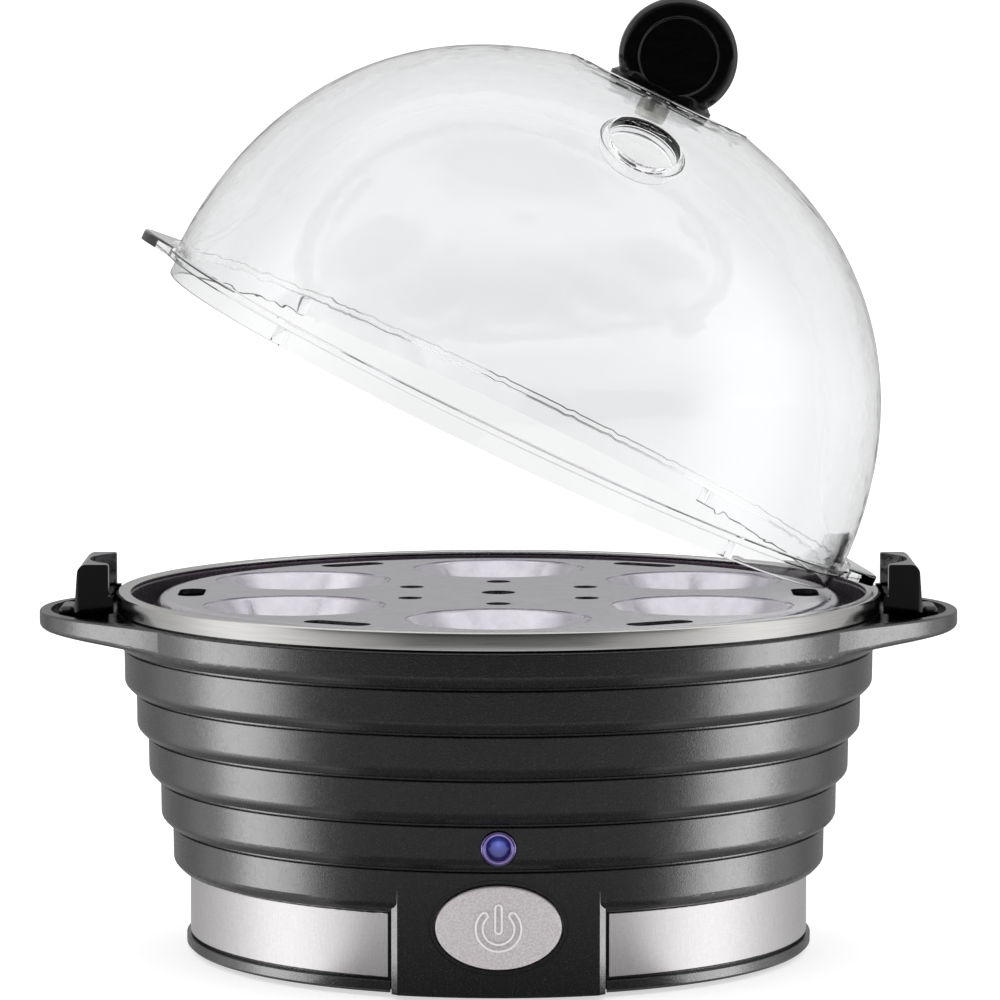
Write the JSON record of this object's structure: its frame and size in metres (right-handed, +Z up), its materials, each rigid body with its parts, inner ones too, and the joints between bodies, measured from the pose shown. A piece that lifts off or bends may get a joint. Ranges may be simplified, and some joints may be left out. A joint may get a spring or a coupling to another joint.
{
  "type": "electric egg cooker",
  "caption": "Countertop electric egg cooker: stepped round body with side ears, egg tray, push button, and a clear domed lid tipped open.",
  "frame": {"origin": "on the table, at the centre of the base", "axes": "+Z up, +X to the right seen from the front, -Y towards the front with the button"},
  "size_m": [0.195, 0.164, 0.2016],
  "materials": {
    "textured_black": "fine spark-eroded grain, charcoal",
    "gloss_black": "piano gloss",
    "clear_plastic": "clear moulded, polished",
    "tray_metal": "polished",
    "polished_steel": "polished stainless",
    "bowl_metal": "dark polished metal, purplish",
    "brushed_trim": "vertical brush",
    "silver_button": "satin silver paint, fine grain",
    "bezel_chrome": "polished",
    "blue_lens": "translucent blue",
    "led_epoxy": "clear epoxy",
    "foot_rubber": "moulded",
    "gasket_silicone": "silicone",
    "zinc_steel": "zinc plated",
    "heater_sheath": "oxidised sheath",
    "shield_steel": "galvanised sheet",
    "thermostat_alu": "plain",
    "board_green": "solder mask",
    "part_black": "moulded",
    "relay_blue": "moulded",
    "part_white": "moulded",
    "gland_rubber": "moulded",
    "wire_jacket": "glass-fibre sleeved",
    "spring_steel": "wire"
  },
  "bodies": {
    "base": {"housing": "textured_black", "steel_rim": "polished_steel", "heating_bowl": "bowl_metal", "bowl_gasket": "gasket_silicone", "egg_tray": "tray_metal", "post_left": "gloss_black", "post_right": "gloss_black", "post_screws": "zinc_steel", "trim_left": "brushed_trim", "trim_right": "brushed_trim", "bottom_cover": "textured_black", "feet": "foot_rubber", "bottom_screws": "zinc_steel", "switch_body": "part_black", "indicator_bezel": "bezel_chrome", "indicator_lens": "blue_lens", "indicator_led": "led_epoxy", "circuit_board": "board_green", "board_screws": "zinc_steel", "buzzer": "part_black", "relay": "relay_blue", "heating_element": "heater_sheath", "heat_shield": "shield_steel", "shield_nuts": "zinc_steel", "thermostat": "thermostat_alu", "thermal_fuse": "thermostat_alu", "fuse_clip": "shield_steel", "cord_gland": "gland_rubber", "cord_clamp": "part_black", "clamp_screws": "zinc_steel", "terminal_block": "part_white", "terminal_screws": "zinc_steel", "lead_wires": "wire_jacket", "button_spring": "spring_steel"},
    "lid": {"lid_dome": "clear_plastic", "lid_knob": "gloss_black", "knob_screw": "zinc_steel"},
    "button": {"button_cap": "silver_button", "switch_plunger": "part_white"}
  },
  "joints": [
    {"name": "lid_tilt", "type": "hinge", "parent": "base", "child": "lid", "pos_m": [0.0833, 0, 0.091], "axis": [0, 1, 0], "range_deg": [-25.5, 19.5]},
    {"name": "button_press", "type": "slide", "parent": "base", "child": "button", "axis": [0, 1, 0], "range_m": [0, 0.002], "stiffness_N_per_m": 600, "springref_m": -0.001, "deforming": ["button_spring"]}
  ]
}
